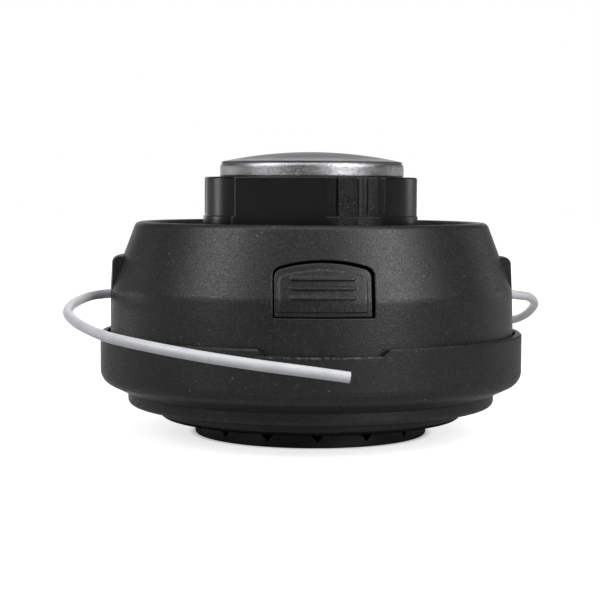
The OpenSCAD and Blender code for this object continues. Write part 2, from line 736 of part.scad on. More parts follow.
module spool() {
    color(dark_nylon) difference() {
        union() {
            rotate_extrude($fn = 120) polygon([
                [barrel_in_r, spool_low_z], [spool_r, spool_low_z],
                [spool_r, spool_low_z + flange_t], [barrel_out_r, spool_low_z + flange_t],
                [barrel_out_r, divider_z - divider_t / 2], [spool_r, divider_z - divider_t / 2],
                [spool_r, divider_z + divider_t / 2], [barrel_out_r, divider_z + divider_t / 2],
                [barrel_out_r, spool_top_z - flange_t], [spool_r, spool_top_z - flange_t],
                [spool_r, spool_top_z], [barrel_in_r, spool_top_z],
                [barrel_in_r, web_z + web_t], [boss_r, web_z + web_t],
                [boss_r, web_z + bush_h], [bush_out_r, web_z + bush_h],
                [bush_out_r, web_z], [barrel_in_r, web_z]]);
            around(lug_count) translate([0, 0, spool_top_z])
                stop_lug(upper_lug_in_r, upper_lug_out_r, upper_lug_h);
            around(lug_count, low_lug_step) translate([0, 0, spool_low_z]) mirror([0, 0, 1])
                stop_lug(lower_lug_in_r, lower_lug_out_r, lower_lug_h);
        }
        // notches that hold the line's ends while it is wound
        around(2, 45) translate([spool_r - line_d, -line_d / 2, spool_low_z - over])
            cube([2 * line_d, line_d, spool_h + 2 * over]);
        // holes that anchor the line in the barrel
        for (turn = [0, 180]) rotate(turn)
            translate([0, 0, divider_z + divider_t / 2 + line_d]) rotate([0, 90, 0])
                cylinder(d = line_d + over, h = barrel_out_r + over, $fn = 24);
    }
}

module spool_bush() {
    color(bright_steel) translate([0, 0, web_z]) difference() {
        cylinder(r = bush_out_r, h = bush_h, $fn = 72);
        translate([0, 0, -over]) cylinder(r = bush_r, h = bush_h + 2 * over, $fn = 72);
    }
}

// A winding between two heights, with the round backs of its outer turns
module winding(z0, z1) {
    rows = floor((z1 - z0) / line_d);
    pitch = (z1 - z0) / rows;
    rotate_extrude($fn = 90) polygon(concat(
        [[barrel_out_r, z1], [barrel_out_r, z0]],
        [for (k = [0 : rows - 1], p = arc([winding_d / 2 - line_d / 2, z0 + (k + 0.5) * pitch],
            pitch / 2, -90, 90, 4)) p]));
}

module line_winding_lower() {
    color(clear_line) winding(spool_low_z + flange_t, divider_z - divider_t / 2);
}

module line_winding_upper() {
    color(clear_line) winding(divider_z + divider_t / 2, spool_top_z - flange_t);
}

// Angle at the knob's outside that a length along it takes up
function knob_angle(length) = length / knob_r * 180 / PI;

// An upright slot in the knob's outside, at an angle to the right of the first flat's middle
module knob_slot(angle, w, depth) {
    rotate(angle - flat_turn - 90) translate([knob_r - depth, -w / 2, foot_z + soft_edge / 2])
        cube([cut_over, w, cut_over]);
}

module knob_body() {
    groove_angle = flat_half_angle + knob_angle(knob_rib_w + groove_w / 2);
    color(black_knob) difference() {
        union() {
            rotate_extrude($fn = 120) polygon([
                [0, spool_top_z], [spigot_r, spool_top_z],
                [knob_flange_d / 2, spool_top_z], [knob_flange_d / 2, knob_flange_z],
                [foot_r, knob_flange_z], [foot_r, foot_z], [knob_r, foot_z],
                [knob_r, knob_top_z - soft_edge / 2], [knob_r - soft_edge / 2, knob_top_z],
                [0, knob_top_z]]);
            translate([0, 0, spool_top_z - spigot_h])
                cylinder(r = spigot_r, h = spigot_h + over, $fn = 90);
        }
        // hollow inside, and the seat of the bump cap
        translate([0, 0, knob_flange_z])
            cylinder(r = knob_bore_r, h = knob_top_z - knob_top_t - knob_flange_z, $fn = 90);
        translate([0, 0, spool_top_z - spigot_h - over])
            cylinder(r = spigot_r - spigot_t, h = spigot_h + knob_flange_t + 2 * over, $fn = 90);
        translate([0, 0, knob_top_z - cap_spigot_h])
            cylinder(r = cap_spigot_r, h = cap_spigot_h + over, $fn = 90);
        around(3) translate([cap_screw_circle_d / 2, 0, knob_top_z - knob_top_t - over])
            cylinder(d = cap_screw_d, h = knob_top_t + 2 * over, $fn = 32);
        // flats, each with a groove and grip flutes on its right
        around(knob_flats) {
            rotate(-flat_turn - 90) translate([flat_r, -flat_w, dish_z])
                cube([knob_r, 2 * flat_w, cut_over]);
            knob_slot(groove_angle, groove_w, groove_depth);
            for (k = [1 : flute_count])
                knob_slot(groove_angle + knob_angle(k * flute_pitch), flute_w, flute_depth);
        }
    }
}

module bump_cap() {
    dome_r = (pow(cap_r, 2) + pow(cap_dome_h, 2)) / (2 * cap_dome_h);
    dome_edge = asin((cap_r - cap_edge_r) / (dome_r - cap_edge_r));
    dome_z = cap_top_z - dome_r;
    edge_z = dome_z + (dome_r - cap_edge_r) * cos(dome_edge);
    hollow_r = cap_spigot_r - knob_top_t / 2;
    color(cast_aluminium) difference() {
        rotate_extrude($fn = 120) polygon(concat(
            [[0, knob_top_z - cap_spigot_h], [cap_spigot_r, knob_top_z - cap_spigot_h],
                [cap_spigot_r, knob_top_z], [cap_r - soft_edge / 2, knob_top_z],
                [cap_r, knob_top_z + soft_edge / 2]],
            arc([cap_r - cap_edge_r, edge_z], cap_edge_r, 0, 90 - dome_edge, 5),
            arc([0, dome_z], dome_r, 90 - dome_edge, 90, 8)));
        difference() {
            translate([0, 0, knob_top_z - cap_spigot_h - over])
                cylinder(r = hollow_r, h = cap_hollow_h + over, $fn = 90);
            around(3) translate([cap_screw_circle_d / 2, 0, knob_top_z - cap_spigot_h])
                cylinder(d = 2 * cap_screw_d, h = cap_hollow_h + over, $fn = 32);
        }
        around(3) translate([cap_screw_circle_d / 2, 0, knob_top_z - cap_spigot_h - over])
            cylinder(d = cap_screw_d, h = cap_side_h + cap_spigot_h + over, $fn = 32);
    }
}

// Three pan head screws that hold the cap from inside the knob
module cap_screws() {
    color(bright_steel)
        around(3) translate([cap_screw_circle_d / 2, 0, knob_top_z - knob_top_t]) difference() {
            union() {
                translate([0, 0, -screw_head_h]) cylinder(d = screw_head_d, h = screw_head_h, $fn = 32);
                cylinder(d = cap_screw_d, h = knob_top_t + cap_side_h - cap_edge_r, $fn = 32);
            }
            translate([0, 0, -screw_head_h - over])
                cylinder(d = screw_key_d, h = screw_head_h / 2 + over, $fn = 6);
        }
}

module line_left() { color(clear_line) tube(smooth_route(left_route, 2), line_d, 8); }
module line_right() { color(clear_line) tube(smooth_route(right_route, 2), line_d, 8); }

base_housing();
arbor_nut();
eyelet_left();
eyelet_right();
cover_shell();
release_tab_front();
release_tab_rear();
tab_pin_front();
tab_pin_rear();
tab_spring_front();
tab_spring_rear();
spring_seat_washer();
main_spring();
lift_washer();
spool();
spool_bush();
line_winding_lower();
line_winding_upper();
knob_body();
bump_cap();
cap_screws();
line_left();
line_right();
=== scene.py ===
"""Bump feed trimmer head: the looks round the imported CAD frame, photographed from the front."""
import math

import bmesh
import bpy
from mathutils import Matrix, Vector
from mathutils.geometry import delaunay_2d_cdt


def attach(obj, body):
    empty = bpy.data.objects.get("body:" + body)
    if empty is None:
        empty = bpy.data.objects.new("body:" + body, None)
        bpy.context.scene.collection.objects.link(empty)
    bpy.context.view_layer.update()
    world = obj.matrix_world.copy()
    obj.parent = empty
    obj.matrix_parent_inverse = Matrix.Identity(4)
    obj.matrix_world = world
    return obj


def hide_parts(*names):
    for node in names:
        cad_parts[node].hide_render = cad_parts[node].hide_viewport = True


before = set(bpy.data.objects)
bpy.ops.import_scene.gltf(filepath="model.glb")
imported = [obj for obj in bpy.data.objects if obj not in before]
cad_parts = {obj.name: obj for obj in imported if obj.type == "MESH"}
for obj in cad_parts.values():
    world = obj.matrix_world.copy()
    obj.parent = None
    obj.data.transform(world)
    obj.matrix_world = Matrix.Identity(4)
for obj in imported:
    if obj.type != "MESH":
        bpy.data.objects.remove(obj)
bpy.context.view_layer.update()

# Base housing: one injection moulding of black glass-filled nylon. Its outside
# has the fine spark texture of the mould, with some dust in it. The lip of its
# ring has pale patchy bands: partly scuffs where the cover comes off, and partly
# painted highlight along the lip's edges.
LIP_LOW_Z = 25.2
HOUSING_TONES = ((0.012, 0.012, 0.013), (0.019, 0.019, 0.020))
HOUSING_ROUGHNESS = (0.32, 0.56)
HOUSING_TEXTURE = 0.000017
SPECKLE_LIFT = 2.4
DUST_TONE = (0.33, 0.32, 0.30)
# pale tone of the lip's bands: partly scuffs, partly painted highlight along the lip's edges
SCUFF_AND_EDGE_SHEEN_TONE = (0.26, 0.25, 0.235)
SCUFF_AND_SHEEN_FADE = 0.002
LOW_LIP_SCUFF_AND_SHEEN = {"lowest": 0.02475, "highest": 0.0253, "widest": 0.0145, "share": 0.9}
LIP_SCUFF_AND_SHEEN = {"lowest": 0.0266, "highest": 0.0270, "widest": 0.06, "share": 0.10}


class Pattern:
    """A node tree in the making. A value is a number, a colour or another node's signal."""

    def __init__(self, tree):
        self.tree = tree

    def feed(self, socket, value):
        """Links a signal to a socket, or sets the socket to a number or colour."""
        if isinstance(value, bpy.types.NodeSocket):
            self.tree.links.new(value, socket)
        elif socket.type == "RGBA":
            socket.default_value = (*value, 1)
        else:
            socket.default_value = value

    def step(self, kind, **settings):
        """Adds a node. A setting is one of its own, or a value for one of its sockets."""
        node = self.tree.nodes.new("ShaderNode" + kind)
        for name, value in settings.items():
            if hasattr(node, name):
                setattr(node, name, value)
            else:
                self.feed(node.inputs[name.replace("_", " ")], value)
        return node

    def spread(self, value, low, high, at_low=0.0, at_high=1.0):
        """Maps the span from low to high of a signal to the span from at_low to at_high."""
        node = self.step("MapRange", Value=value, From_Min=low, From_Max=high,
            To_Min=at_low, To_Max=at_high)
        return node.outputs["Result"]

    def reckon(self, operation, first, second=0.0):
        """Arithmetic on two values."""
        node = self.step("Math", operation=operation)
        self.feed(node.inputs[0], first)
        self.feed(node.inputs[1], second)
        return node.outputs["Value"]

    def times(self, first, second):
        return self.reckon("MULTIPLY", first, second)

    def plus(self, first, second):
        return self.reckon("ADD", first, second)


class Finish(Pattern):
    """A material in the making, with the marks that this head's finishes are made of."""

    def __init__(self, name):
        self.material = bpy.data.materials.new(name)
        self.material.use_nodes = True
        super().__init__(self.material.node_tree)
        self.shader = self.tree.nodes["Principled BSDF"]
        self.place = self.step("TexCoord").outputs["Object"]

    def surface(self, **sockets):
        """Feeds the shader's own sockets, named with _ for a space."""
        for name, value in sockets.items():
            self.feed(self.shader.inputs[name.replace("_", " ")], value)

    def along(self, axis):
        """How far along an axis a point lies, in metres."""
        return self.step("SeparateXYZ", Vector=self.place).outputs[axis]

    def grain(self, scale, detail=3.0, roughness=0.5):
        """Fine noise about a half, with so many grains to the metre."""
        node = self.step("TexNoise", Vector=self.place, Scale=scale, Detail=detail,
            Roughness=roughness)
        return node.outputs["Fac"]

    def cloud(self, scale, detail=4.0, roughness=0.5):
        """Soft patches from 0 to 1."""
        return self.spread(self.grain(scale, detail, roughness), 0.3, 0.7)

    def mixed(self, share, first, second):
        """Mixes two colours by a share."""
        return self.step("Mix", data_type="RGBA", A=first, B=second,
            Factor=share).outputs["Result"]

    def raised(self, height, depth):
        """The normal of a relief that is so deep, in metres."""
        return self.step("Bump", Height=height, Strength=1.0, Distance=depth).outputs["Normal"]

    def dust_dots(self, cells_per_metre, size, rarity):
        """Shares of pale dust: one dot in each cell whose own number is above rarity."""
        cells = self.step("TexVoronoi", Vector=self.place, Scale=cells_per_metre)
        dot = self.spread(cells.outputs["Distance"], size, size * 0.4)
        return self.times(dot, self.reckon("GREATER_THAN", cells.outputs["Color"], rarity))

    def scuffed_and_sheened(self, tone, lowest, highest, widest, share):
        """Lays a patchy pale band over a tone, between two heights and out to a width: partly
        wear, partly painted highlight along an edge.
        """
        middle = (lowest + highest) / 2
        half = (highest - lowest) / 2
        up_or_down = self.reckon("ABSOLUTE", self.reckon("SUBTRACT", self.along("Z"), middle))
        sideways = self.reckon("ABSOLUTE", self.along("X"))
        band = self.times(self.spread(up_or_down, half, half * 0.3),
            self.spread(sideways, widest + SCUFF_AND_SHEEN_FADE, widest))
        patches = self.spread(self.grain(520, detail=5, roughness=0.75), 0.47, 0.62)
        return self.mixed(self.times(self.times(band, patches), share), tone, SCUFF_AND_EDGE_SHEEN_TONE)


def moulded_nylon(name, tone_pair, roughness, texture=0.000024, dusty=0.5, scuffs_and_sheens=()):
    """Black nylon with a spark texture so deep, in metres, and dust in it."""
    nylon = Finish(name)
    dark, light = tone_pair
    tone = nylon.mixed(nylon.cloud(60, detail=5, roughness=0.6), dark, light)
    speckle = nylon.spread(nylon.grain(1500, roughness=0.7), 0.52, 0.75)
    tone = nylon.mixed(speckle, tone, tuple(SPECKLE_LIFT * t for t in light))
    fine_dust = nylon.dust_dots(900.0, size=0.24, rarity=0.88)
    big_dust = nylon.dust_dots(210.0, size=0.09, rarity=0.9)
    dust = nylon.times(nylon.reckon("MAXIMUM", fine_dust, big_dust), dusty)
    tone = nylon.mixed(dust, tone, DUST_TONE)
    # pale bands on the lip: partly scuffs, partly painted edge highlight
    for scuff_and_sheen in scuffs_and_sheens:
        tone = nylon.scuffed_and_sheened(tone, **scuff_and_sheen)
    sparks = nylon.spread(nylon.grain(3200, detail=1, roughness=0.6), 0.35, 0.65)
    nylon.surface(
        Base_Color=tone,
        Roughness=nylon.spread(nylon.grain(2000, roughness=0.7), 0.38, 0.62, *roughness),
        Normal=nylon.raised(sparks, texture))
    return nylon.material


def dress(node, material):
    """Puts a finish on a CAD node's own slots."""
    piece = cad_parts[node]
    if not piece.material_slots:
        piece.data.materials.append(material)
    for place in piece.material_slots:
        place.material = material


HOUSING_NYLON = moulded_nylon("housing_nylon", HOUSING_TONES, HOUSING_ROUGHNESS,
    texture=HOUSING_TEXTURE, scuffs_and_sheens=(LOW_LIP_SCUFF_AND_SHEEN, LIP_SCUFF_AND_SHEEN))
dress("base_housing", HOUSING_NYLON)


# Arbor nut and eyelets: steel pieces, turned and zinc plated. The nut is moulded
# into the base's tower, and the eyelets are pressed into its two pillars.
ZINC_TONE = (0.55, 0.56, 0.58)
ZINC_ROUGHNESS = 0.28
METAL_ROUGHNESS_SPAN = 0.14


def smooth_steel(name, tone, roughness):
    """Steel with a faint cloudiness and the finest of marks from its making."""
    steel = Finish(name)
    darker = tuple(t * 0.8 for t in tone)
    steel.surface(
        Base_Color=steel.mixed(steel.grain(300, detail=4), darker, tone),
        Metallic=1.0,
        Roughness=steel.spread(steel.grain(700), 0.3, 0.7,
            roughness, roughness + METAL_ROUGHNESS_SPAN),
        Normal=steel.raised(steel.grain(1600), 0.00002))
    return steel.material


ZINC = smooth_steel("zinc_plated_steel", ZINC_TONE, ZINC_ROUGHNESS)
for node in ("arbor_nut", "eyelet_left", "eyelet_right"):
    dress(node, ZINC)


# Pins, washers and springs: the tab pins and the spool's two washers are zinc-plated
# steel. The main spring stands between the washers, and a torsion spring sits on
# each pin, all three coiled from bare spring wire.
SPRING_TONE = (0.38, 0.38, 0.40)
SPRING_ROUGHNESS = 0.3

SPRING_STEEL = smooth_steel("spring_steel", SPRING_TONE, SPRING_ROUGHNESS)
for node in ("tab_pin_front", "tab_pin_rear", "spring_seat_washer", "lift_washer"):
    dress(node, ZINC)
for node in ("main_spring", "tab_spring_front", "tab_spring_rear"):
    dress(node, SPRING_STEEL)


# Spool: black nylon with a steel bush pressed into its web. It turns on the
# base's post and carries both windings of the line.
SPOOL_TONES = ((0.010, 0.010, 0.011), (0.016, 0.016, 0.017))
SPOOL_ROUGHNESS = (0.4, 0.55)

SPOOL_NYLON = moulded_nylon("spool_nylon", SPOOL_TONES, SPOOL_ROUGHNESS, dusty=0.4)
dress("spool", SPOOL_NYLON)
dress("spool_bush", ZINC)


# Trimmer line: milky nylon monofilament, 2.4 mm thick. Each free end comes out
# of its eyelet, keeps the curl that the spool gave it and ends in a plain cut.
LINE_DIAMETER = 0.0024
LINE_TONES = ((0.80, 0.81, 0.85), (0.90, 0.91, 0.94))
LEFT_ROUTE = [
    (-48, 0, 36.5), (-51, 0, 36.5), (-53.5, -1, 36.5), (-55.8, -3.4, 36.4),
    (-57.5, -7, 36.3), (-59, -12.5, 36), (-60.3, -20, 35.6), (-61, -29, 35),
    (-60.6, -39, 34.2), (-57.6, -52.5, 33.2), (-53, -66, 32.4), (-48, -76, 31.7),
    (-39, -84.8, 30.6), (-28.5, -91.4, 29.3), (-17, -95.2, 27.9),
    (-6, -96.8, 26.6), (2.4, -96.4, 25.4)]
RIGHT_ROUTE = [
    (48, 0, 36.5), (51, 0, 36.5), (53.6, 0.9, 36.4), (56.2, 3.2, 36),
    (58.4, 6.8, 35.6), (60.6, 12, 35), (63, 19, 33.8), (65.4, 28, 32),
    (66.4, 38, 29.6), (66.2, 47.2, 27.2), (64.8, 56.4, 25.2), (60.4, 69.4, 23),
    (52, 82, 21), (40.6, 90.8, 19.6), (28, 96.4, 18.6), (14, 99.2, 18)]


def milky_nylon():
    """Clear nylon clouded white, as the extruder leaves it."""
    line = Finish("trimmer_line_nylon")
    line.surface(
        Base_Color=line.mixed(line.cloud(260), *LINE_TONES),
        Roughness=0.32,
        IOR=1.53,
        Transmission_Weight=0.06,
        Subsurface_Weight=0.6,
        Subsurface_Radius=(0.002, 0.002, 0.002),
        Normal=line.raised(line.grain(900), 0.00004))
    return line.material


LINE_NYLON = milky_nylon()


def line_end(name, route, node):
    """One free end of the line, as a round curve along its route."""
    curve = bpy.data.curves.new(name, "CURVE")
    curve.dimensions = "3D"
    curve.bevel_depth = LINE_DIAMETER / 2
    curve.bevel_resolution = 8
    curve.use_fill_caps = True
    curve.resolution_u = 12
    spline = curve.splines.new("BEZIER")
    spline.bezier_points.add(len(route) - 1)
    points = [Vector(p) / 1000 for p in route]
    for i, point in enumerate(spline.bezier_points):
        before = points[max(i - 1, 0)]
        after = points[min(i + 1, len(points) - 1)]
        along = (after - before).normalized()
        back = (points[i] - before).length or (after - points[i]).length
        ahead = (after - points[i]).length or back
        point.co = points[i]
        point.handle_left = points[i] - along * back / 3
        point.handle_right = points[i] + along * ahead / 3
    line = bpy.data.objects.new(name, curve)
    bpy.context.scene.collection.objects.link(line)
    curve.materials.append(LINE_NYLON)
    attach(line, "housing")
    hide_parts(node)


line_end("free_line_left", LEFT_ROUTE, "line_left")
line_end("free_line_right", RIGHT_ROUTE, "line_right")
for winding in ("line_winding_lower", "line_winding_upper"):
    dress(winding, LINE_NYLON)


# Cover: a conical shell of the same black nylon. It drops into the ring's lip
# and is held by the two release tabs, which look out of its arched windows.
COVER_TONES = ((0.014, 0.014, 0.0145), (0.022, 0.022, 0.023))
COVER_ROUGHNESS = (0.26, 0.46)
COVER_R = 53.25
COVER_INSIDE_R = 50.85
SKIRT_Z = 17.9
WALL_LEAN = 2.01
CREASE_R = 52.8
CREASE_Z = 38.0
CREASE_ROUND = 5.0
INSIDE_CREASE_R = 50.227
INSIDE_CREASE_Z = 37.6
INSIDE_CREASE_ROUND = 1.0
CONE_ANGLE = 21.11
RIM_R = 44.9
RIM_Z = 55.6
RIM_ROUND = 1.8
RIM_INNER_ANGLE = 165
DISH_R = 41.4
DISH_Z = 51.0
DISH_ROUND = 0.8
DISH_EDGE_R = 42.2
DISH_EDGE_Z = 51.8
DISH_UNDER_R = 43.0
DISH_UNDER_Z = 48.6
OPENING_R = 29.35
SLEEVE_R = 31.55
SLEEVE_FOOT_Z = 44.3
WINDOW_W = 24.0
WINDOW_FOOT_Z = 34.1
WINDOW_TOP_Z = 47.5
WINDOW_ARCH_R = 36.0
WINDOW_CORNER_R = 2.4
WINDOW_EDGE_R = 0.35
WALL_CUT_FROM = 45.2
WALL_CUT_TO = 62.0
PILLAR_SLOT_HALF_W = 9.4
PILLAR_SLOT_FOOT_Z = 17.4
PILLAR_SLOT_TOP_Z = 47.1
LUG_COUNT = 4
LUG_TURN = -14.1
LUG_HALF_W = 3.0
LUG_IN_R = 34.8
LUG_OUT_R = 39.6
LUG_FOOT_Z = 43.2
LUG_TOP_Z = 49.0


def arc(centre, radius, start, end, steps=8):
    """Points of an arc, its angles in degrees."""
    angles = [math.radians(start + (end - start) * i / steps) for i in range(steps + 1)]
    return [(centre[0] + radius * math.cos(a), centre[1] + radius * math.sin(a)) for a in angles]


def rounded(corners, hold=0.15, steps=6):
    """An outline with softened corners, each (x, y, round), or (x, y) where it stays sharp.

    Next to each round, a point at the distance hold keeps the straight line flat.
    """
    outline = []
    for i, corner in enumerate(corners):
        here = Vector(corner[:2])
        if len(corner) == 2:
            outline.append(tuple(here))
            continue
        back = (Vector(corners[i - 1][:2]) - here).normalized()
        ahead = (Vector(corners[(i + 1) % len(corners)][:2]) - here).normalized()
        half_turn = (math.pi - back.angle(ahead)) / 2
        reach = corner[2] * math.tan(half_turn)
        centre = here + (back + ahead).normalized() * (corner[2] / math.cos(half_turn))
        first = here + back * reach - centre
        last = here + ahead * reach - centre
        start = math.atan2(first.y, first.x)
        turn = math.atan2(last.y, last.x) - start
        turn -= 2 * math.pi * round(turn / (2 * math.pi))
        outline.append(tuple(here + back * (reach + hold)))
        outline += arc(centre, corner[2], math.degrees(start), math.degrees(start + turn), steps)
        outline.append(tuple(here + ahead * (reach + hold)))
    return outline


def skinned(shape, rings):
    """Lays faces between each ring of corners and the next. A ring of one corner is a tip."""
    for here, there in zip(rings, rings[1:]):
        count = max(len(here), len(there))
        for k in range(count):
            j = (k + 1) % count
            corners = list(dict.fromkeys([here[k % len(here)], here[j % len(here)],
                there[j % len(there)], there[k % len(there)]]))
            if len(corners) > 2:
                shape.faces.new(corners)


def turned(section, steps=240):
    """Turns a closed section of (radius, height) points, in millimetres, round the drive axis."""
    shape = bmesh.new()
    rings = []
    for radius, height in section:
        turns = [2 * math.pi * k / steps for k in range(steps if radius > 0 else 1)]
        rings.append([shape.verts.new((
            radius * math.cos(a) / 1000, radius * math.sin(a) / 1000, height / 1000))
            for a in turns])
    skinned(shape, rings + rings[:1])
    bmesh.ops.recalc_face_normals(shape, faces=shape.faces)
    return shape


def ring_stack(rings):
    """A closed solid through rings of as many points each, in millimetres, capped at both ends."""
    shape = bmesh.new()
    loops = [[shape.verts.new([v / 1000 for v in point]) for point in ring] for ring in rings]
    skinned(shape, loops)
    shape.faces.new(loops[0])
    shape.faces.new(loops[-1])
    bmesh.ops.recalc_face_normals(shape, faces=shape.faces)
    return shape


def block(low, high, turn=0):
    """A box between two corners in millimetres, turned about the drive axis."""
    (x0, y0, z0), (x1, y1, z1) = low, high
    shape = ring_stack([[(x0, y0, z), (x1, y0, z), (x1, y1, z), (x0, y1, z)] for z in (z0, z1)])
    bmesh.ops.rotate(shape, verts=shape.verts, cent=(0, 0, 0),
        matrix=Matrix.Rotation(math.radians(turn), 3, "Z"))
    return shape


def half_turned(shape):
    """A copy of a shape on the far side of the drive axis."""
    copy = shape.copy()
    bmesh.ops.rotate(copy, verts=copy.verts, cent=(0, 0, 0),
        matrix=Matrix.Rotation(math.pi, 3, "Z"))
    return copy


def stood(name, shape):
    """Makes an object of a shape."""
    mesh = bpy.data.meshes.new(name)
    shape.to_mesh(mesh)
    shape.free()
    piece = bpy.data.objects.new(name, mesh)
    bpy.context.scene.collection.objects.link(piece)
    return piece


def worked(piece, shapes, operation="DIFFERENCE"):
    """Cuts shapes from a piece one by one, or joins them to it."""
    tools = [stood("tool", shape) for shape in shapes]
    for tool in tools:
        change = piece.modifiers.new("work", "BOOLEAN")
        change.operation = operation
        change.solver = "EXACT"
        change.object = tool
    done = bpy.data.meshes.new_from_object(
        piece.evaluated_get(bpy.context.evaluated_depsgraph_get()))
    piece.modifiers.clear()
    piece.data = done
    for tool in tools:
        bpy.data.objects.remove(tool)


def finished(piece, material, body, node, sharp=32):
    """Smooth faces between crisp edges, a finish, and the CAD node that the piece stands for."""
    mesh = piece.data
    mesh.materials.clear()
    mesh.materials.append(material)
    for face in mesh.polygons:
        face.use_smooth = True
        face.material_index = 0
    mesh.set_sharp_from_angle(angle=math.radians(sharp))
    even = piece.modifiers.new("even_shading", "WEIGHTED_NORMAL")
    even.keep_sharp = True
    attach(piece, body)
    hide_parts(node)


def cover_face():
    """The cover's outside from its skirt to the top of its rim, as (radius, height) points."""
    wall_out = Vector((math.cos(math.radians(WALL_LEAN)), math.sin(math.radians(WALL_LEAN))))
    cone_out = Vector((math.cos(math.radians(CONE_ANGLE)), math.sin(math.radians(CONE_ANGLE))))
    crease_centre = (Vector((CREASE_R, CREASE_Z))
        - (wall_out + cone_out) * (CREASE_ROUND / (1 + wall_out.dot(cone_out))))
    return ([(COVER_R, SKIRT_Z), (COVER_R, LIP_LOW_Z)]
        + arc(crease_centre, CREASE_ROUND, WALL_LEAN, CONE_ANGLE, 12)
        + arc((RIM_R, RIM_Z - RIM_ROUND), RIM_ROUND, CONE_ANGLE, 90, 10))


COVER_FACE = cover_face()


def cover_radius(z):
    """Radius of the cover's outside at a height."""
    for (r0, z0), (r1, z1) in zip(COVER_FACE, COVER_FACE[1:]):
        if z0 <= z <= z1:
            return r0 + (r1 - r0) * (z - z0) / (z1 - z0) if z1 > z0 else r0
    return COVER_R if z < SKIRT_Z else RIM_R


def on_cover(x, z, out=0.0):
    """The point at x and z on the front of the cover's outside, moved out."""
    return x, -math.sqrt((cover_radius(z) + out) ** 2 - x * x), z


def window_outline(inset=0.0, foot=0.0, drop=0.0):
    """The window's arched outline in X and Z, drawn in by inset at its sides and arch.

    Its foot is raised by foot, and its arch is lowered by drop.
    """
    foot_steps, side_steps, arch_steps = 24, 8, 28
    half = WINDOW_W / 2 - inset
    corner = WINDOW_CORNER_R - inset / 2
    arch = WINDOW_ARCH_R - inset
    arch_z = WINDOW_TOP_Z - WINDOW_ARCH_R - drop
    x = half - corner
    z = arch_z + math.sqrt((arch - corner) ** 2 - x * x)
    lean = math.degrees(math.atan2(z - arch_z, x))
    low = WINDOW_FOOT_Z + foot
    foot_line = [(-half + 2 * half * i / foot_steps, low) for i in range(foot_steps + 1)]
    right_side = [(half, low + (z - low) * i / side_steps) for i in range(1, side_steps)]
    left_side = [(-half, z + (low - z) * i / side_steps) for i in range(1, side_steps)]
    return (foot_line + right_side + arc((x, z), corner, 0, lean)
        + arc((0, arch_z), arch, lean, 180 - lean, arch_steps)[1:-1]
        + arc((-x, z), corner, 180 - lean, 180) + left_side)


def drawn(outline, distance):
    """An outline moved outwards by a distance, or inwards when it is negative."""
    moved = []
    for i, here in enumerate(outline):
        here = Vector(here)
        back = (here - Vector(outline[i - 1])).normalized()
        ahead = (Vector(outline[(i + 1) % len(outline)]) - here).normalized()
        out = Vector((back.y + ahead.y, -back.x - ahead.x)) / (1 + back.dot(ahead))
        moved.append(tuple(here + out * distance))
    return moved


def window_cutter():
    """What a window takes from the cover, flared so that its outer edge is round."""
    outline = window_outline()
    rings = [[(x, -WALL_CUT_FROM, z) for x, z in outline]]
    for angle in (0, 16, 32, 48, 64, 80):
        flare = WINDOW_EDGE_R * (1 - math.cos(math.radians(angle)))
        depth = WINDOW_EDGE_R * (1 - math.sin(math.radians(angle)))
        rings.append([on_cover(x, z, -depth) for x, z in drawn(outline, flare)])
    past_wall = -COVER_R - 6
    rings.append([(x, past_wall, z) for x, z in drawn(outline, flare)])
    return ring_stack(rings)


cover_inside = rounded([
    (DISH_EDGE_R, DISH_EDGE_Z),
    (DISH_R, DISH_Z, DISH_ROUND),
    (OPENING_R, DISH_Z, DISH_ROUND),
    (OPENING_R, SLEEVE_FOOT_Z, 0.3),
    (SLEEVE_R, SLEEVE_FOOT_Z, 0.3),
    (SLEEVE_R, DISH_UNDER_Z, 0.4),
    (DISH_UNDER_R, DISH_UNDER_Z, 0.5),
    (RIM_R, DISH_EDGE_Z, 0.5),
    (INSIDE_CREASE_R, INSIDE_CREASE_Z, INSIDE_CREASE_ROUND),
    (COVER_INSIDE_R, LIP_LOW_Z),
    (COVER_INSIDE_R, SKIRT_Z)])
rim_inner = arc((RIM_R, RIM_Z - RIM_ROUND), RIM_ROUND, 90, RIM_INNER_ANGLE)[1:]
cover = stood("cover_shell_skin", turned(COVER_FACE + rim_inner + cover_inside))
worked(cover, [
    window_cutter(),
    half_turned(window_cutter()),
    block((WALL_CUT_FROM, -PILLAR_SLOT_HALF_W, PILLAR_SLOT_FOOT_Z),
        (WALL_CUT_TO, PILLAR_SLOT_HALF_W, PILLAR_SLOT_TOP_Z)),
    block((-WALL_CUT_TO, -PILLAR_SLOT_HALF_W, PILLAR_SLOT_FOOT_Z),
        (-WALL_CUT_FROM, PILLAR_SLOT_HALF_W, PILLAR_SLOT_TOP_Z))])
worked(cover, [
    block((-LUG_HALF_W, -LUG_OUT_R, LUG_FOOT_Z), (LUG_HALF_W, -LUG_IN_R, LUG_TOP_Z),
        turn=LUG_TURN + k * 360 / LUG_COUNT)
    for k in range(LUG_COUNT)], "UNION")
COVER_NYLON = moulded_nylon("cover_nylon", COVER_TONES, COVER_ROUGHNESS)
finished(cover, COVER_NYLON, "housing", "cover_shell")


